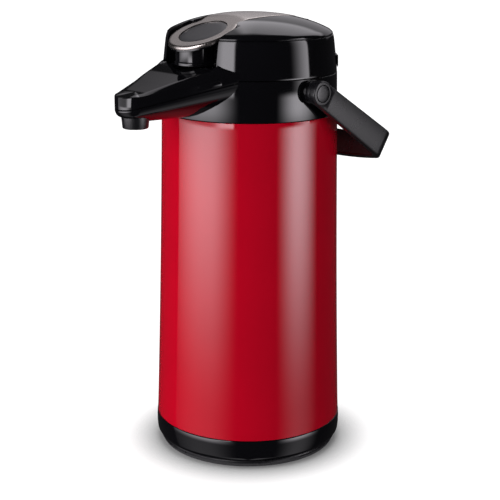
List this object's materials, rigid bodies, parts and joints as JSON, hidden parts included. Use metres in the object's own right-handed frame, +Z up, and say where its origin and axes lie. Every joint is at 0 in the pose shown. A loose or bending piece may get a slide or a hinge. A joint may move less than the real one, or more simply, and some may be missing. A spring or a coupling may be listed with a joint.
{
  "type": "thermal coffee airpot",
  "caption": "Pump airpot: vacuum flask in a lacquered steel shell, hinged pump lid with press lever, angular spout, carrying bail and turning foot.",
  "frame": {"origin": "centre of the foot's underside, on the surface that the airpot stands on", "axes": "+Z up along the flask's axis, -Y towards the spout, +X towards the pivot of the bail on the user's left when the spout faces away"},
  "size_m": [0.1758, 0.2421, 0.3809],
  "materials": {
    "red_lacquer": "gloss lacquer",
    "gloss_black": "high gloss",
    "satin_black": "satin",
    "champagne_metal": "satin plated",
    "badge": "gloss",
    "steel": "plain",
    "flask_glass": "silvered glass",
    "rubber": "matt",
    "natural_plastic": "natural"
  },
  "bodies": {
    "vessel": {"outer_shell": "red_lacquer", "base_ring": "satin_black", "flask": "flask_glass", "flask_tip": "flask_glass", "flask_cushion": "rubber", "neck_gasket": "rubber", "mouth_ring": "satin_black", "neck_funnel": "satin_black", "riser_tube": "natural_plastic", "delivery_tube": "natural_plastic", "tube_grommet": "rubber", "collar": "gloss_black", "spout_upper": "gloss_black", "spout_lower": "gloss_black", "nozzle": "satin_black", "hinge_bracket": "satin_black", "hinge_pin": "steel", "hinge_screw_left": "steel", "hinge_screw_right": "steel", "pivot_stud_left": "steel", "pivot_stud_right": "steel", "pivot_washer_left": "satin_black", "pivot_washer_right": "satin_black"},
    "swivel_foot": {"foot_plate": "satin_black", "foot_pad": "rubber", "swivel_retainer": "steel", "swivel_screw": "steel"},
    "lid": {"lid_shell": "gloss_black", "lid_underplate": "satin_black", "lid_gasket": "rubber", "air_valve": "rubber", "lid_screw_1": "steel", "lid_screw_2": "steel", "lid_screw_3": "steel", "hinge_cover": "gloss_black", "lever_pin": "steel"},
    "lever": {"lever_arm": "gloss_black", "lever_trim": "champagne_metal", "lever_badge": "badge"},
    "plunger": {"plunger_plate": "satin_black", "bellows": "rubber", "bellows_spring": "steel"},
    "lock_right": {"lid_lock_right": "gloss_black"},
    "lock_left": {"lid_lock_left": "gloss_black"},
    "bail": {"bail_handle": "satin_black", "bail_cap_left": "satin_black", "bail_cap_right": "satin_black"}
  },
  "joints": [
    {"name": "foot_swivel", "type": "hinge", "parent": "vessel", "child": "swivel_foot", "pos_m": [0, 0, 0.006], "axis": [0, 0, 1], "continuous": true},
    {"name": "lid_hinge", "type": "hinge", "parent": "vessel", "child": "lid", "pos_m": [0, 0.0795, 0.3335], "axis": [-1, 0, 0], "range_deg": [0, 70]},
    {"name": "lever_press", "type": "hinge", "parent": "lid", "child": "lever", "pos_m": [0, 0.046, 0.366], "axis": [1, 0, 0], "range_deg": [0, 4.2], "stiffness_Nm_per_rad": 6, "springref_deg": -6.88},
    {"name": "plunger_stroke", "type": "slide", "parent": "lid", "child": "plunger", "axis": [0, 0, -1], "range_m": [0, 0.0034], "deforming": ["bellows", "bellows_spring"]},
    {"name": "lock_slide_right", "type": "slide", "parent": "vessel", "child": "lock_right", "axis": [-0.4054, -0.8967, -0.1776], "range_m": [0, 0.006]},
    {"name": "lock_slide_left", "type": "slide", "parent": "vessel", "child": "lock_left", "axis": [0.4054, -0.8967, -0.1776], "range_m": [0, 0.006]},
    {"name": "bail_swing", "type": "hinge", "parent": "vessel", "child": "bail", "pos_m": [0, 0, 0.3214], "axis": [1, 0, 0], "range_deg": [0, 125]}
  ],
  "couplings": [
    {"joint": "plunger_stroke", "follows": "lever_press", "m_per_rad": 0.046}
  ]
}
